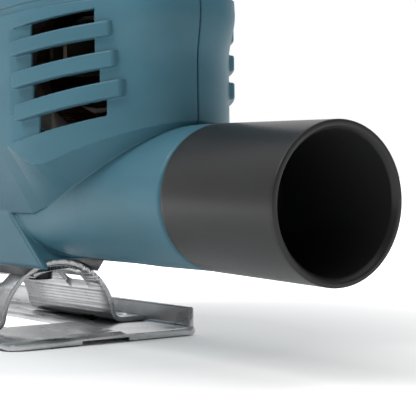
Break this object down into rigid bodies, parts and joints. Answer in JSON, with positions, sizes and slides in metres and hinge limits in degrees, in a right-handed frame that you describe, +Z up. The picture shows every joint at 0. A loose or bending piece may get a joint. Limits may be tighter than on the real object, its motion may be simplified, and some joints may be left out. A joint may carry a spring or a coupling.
{
  "type": "jigsaw power tool",
  "caption": "Compact orbital jigsaw with a closed loop handle, vented motor barrel, tilting pressed-steel shoe and a push-in dust nozzle behind.",
  "frame": {"origin": "centre of the bounding box on the ground plane; the shoe's sole is Z = 0", "axes": "+X to the front of the tool, +Y to its left side, +Z up"},
  "size_m": [0.281, 0.0742, 0.1967],
  "materials": {
    "teal_plastic": "fine moulded grain",
    "black_plastic": "fine satin grain",
    "black_rubber": "matt",
    "clear_plastic": "clear, glossy",
    "zinc_steel": "zinc plated pressing",
    "bright_steel": "machined",
    "cast_aluminium": "die cast, grey",
    "lamination": "stacked sheet edges",
    "copper": "varnished copper",
    "brass": "machined",
    "carbon": "pressed carbon",
    "fan_plastic": "moulded",
    "circuit_board": "coated board"
  },
  "bodies": {
    "housing": {"housing_left": "teal_plastic", "housing_right": "teal_plastic", "gear_housing": "cast_aluminium", "gear_cover": "cast_aluminium", "field_core": "lamination", "field_winding_front": "copper", "field_winding_rear": "copper", "rear_bearing": "bright_steel", "front_bearing": "bright_steel", "bearing_seat": "black_rubber", "brush_holder_left": "brass", "brush_holder_right": "brass", "brush_left": "carbon", "brush_right": "carbon", "gear_shaft": "bright_steel", "plunger_bush_lower": "brass", "plunger_bush_upper": "brass", "arm_pin": "bright_steel", "switch_body": "black_plastic", "control_board": "circuit_board", "cord_gland": "black_rubber", "clamp_bolt": "bright_steel", "finger_guard": "bright_steel", "housing_screw_1": "bright_steel", "housing_screw_2": "bright_steel", "housing_screw_3": "bright_steel", "housing_screw_4": "bright_steel", "housing_screw_5": "bright_steel"},
    "armature": {"armature_shaft": "bright_steel", "armature_core": "lamination", "armature_winding_rear": "copper", "armature_winding_front": "copper", "commutator": "copper", "fan": "fan_plastic"},
    "drive_gear_set": {"drive_gear": "bright_steel", "crank_pin": "bright_steel", "counterweight": "lamination"},
    "plunger": {"plunger_rod": "bright_steel", "yoke": "bright_steel", "blade_holder": "zinc_steel", "blade_screw": "bright_steel"},
    "roller_arm": {"roller_arm": "lamination", "roller_axle": "bright_steel"},
    "roller": {"roller": "bright_steel"},
    "trigger": {"trigger": "black_plastic"},
    "lock_button": {"lock_button": "black_plastic"},
    "speed_dial": {"speed_dial": "black_plastic"},
    "action_lever": {"action_lever": "black_plastic"},
    "dust_nozzle": {"dust_nozzle": "black_plastic"},
    "chip_shield": {"chip_shield": "clear_plastic"},
    "shoe_clamp": {"clamp_plate": "bright_steel"},
    "shoe": {"shoe_plate": "zinc_steel", "shoe_arch": "zinc_steel"}
  },
  "joints": [
    {"name": "armature_spin", "type": "hinge", "parent": "housing", "child": "armature", "pos_m": [0, 0, 0.092], "axis": [1, 0, 0], "continuous": true},
    {"name": "gear_spin", "type": "hinge", "parent": "housing", "child": "drive_gear_set", "pos_m": [0, 0, 0.0704], "axis": [1, 0, 0], "continuous": true},
    {"name": "plunger_stroke", "type": "slide", "parent": "housing", "child": "plunger", "axis": [0, 0, 1], "range_m": [-0.009, 0.009]},
    {"name": "roller_arm_swing", "type": "hinge", "parent": "housing", "child": "roller_arm", "pos_m": [0.064, 0, 0.0375], "axis": [0, 1, 0], "range_deg": [0, 4]},
    {"name": "roller_spin", "type": "hinge", "parent": "roller_arm", "child": "roller", "pos_m": [0.0736, 0, 0.0085], "axis": [0, 1, 0], "continuous": true},
    {"name": "trigger_press", "type": "slide", "parent": "housing", "child": "trigger", "axis": [0, 0, 1], "range_m": [0, 0.005], "stiffness_N_per_m": 1500, "springref_m": -0.002},
    {"name": "lock_press", "type": "slide", "parent": "housing", "child": "lock_button", "axis": [0, -1, 0], "range_m": [0, 0.003], "stiffness_N_per_m": 800, "springref_m": -0.002},
    {"name": "dial_turn", "type": "hinge", "parent": "housing", "child": "speed_dial", "pos_m": [0.07, 0, 0.1848], "axis": [0, 1, 0], "range_deg": [0, 270]},
    {"name": "action_lever_turn", "type": "hinge", "parent": "housing", "child": "action_lever", "pos_m": [0.074, 0.021, 0.047], "axis": [0, 1, 0], "range_deg": [0, 45]},
    {"name": "nozzle_pull", "type": "slide", "parent": "housing", "child": "dust_nozzle", "axis": [-0.9998, 0, -0.022], "range_m": [0, 0.03]},
    {"name": "shield_pull", "type": "slide", "parent": "housing", "child": "chip_shield", "axis": [1, 0, 0], "range_m": [0, 0.02]},
    {"name": "shoe_slide", "type": "slide", "parent": "housing", "child": "shoe_clamp", "axis": [-1, 0, 0], "range_m": [0, 0.009]},
    {"name": "shoe_tilt", "type": "hinge", "parent": "shoe_clamp", "child": "shoe", "pos_m": [0.04, 0, 0.00334], "axis": [1, 0, 0], "range_deg": [-45, 45]}
  ],
  "couplings": [
    {"joint": "gear_spin", "follows": "armature_spin", "ratio": -0.2}
  ]
}
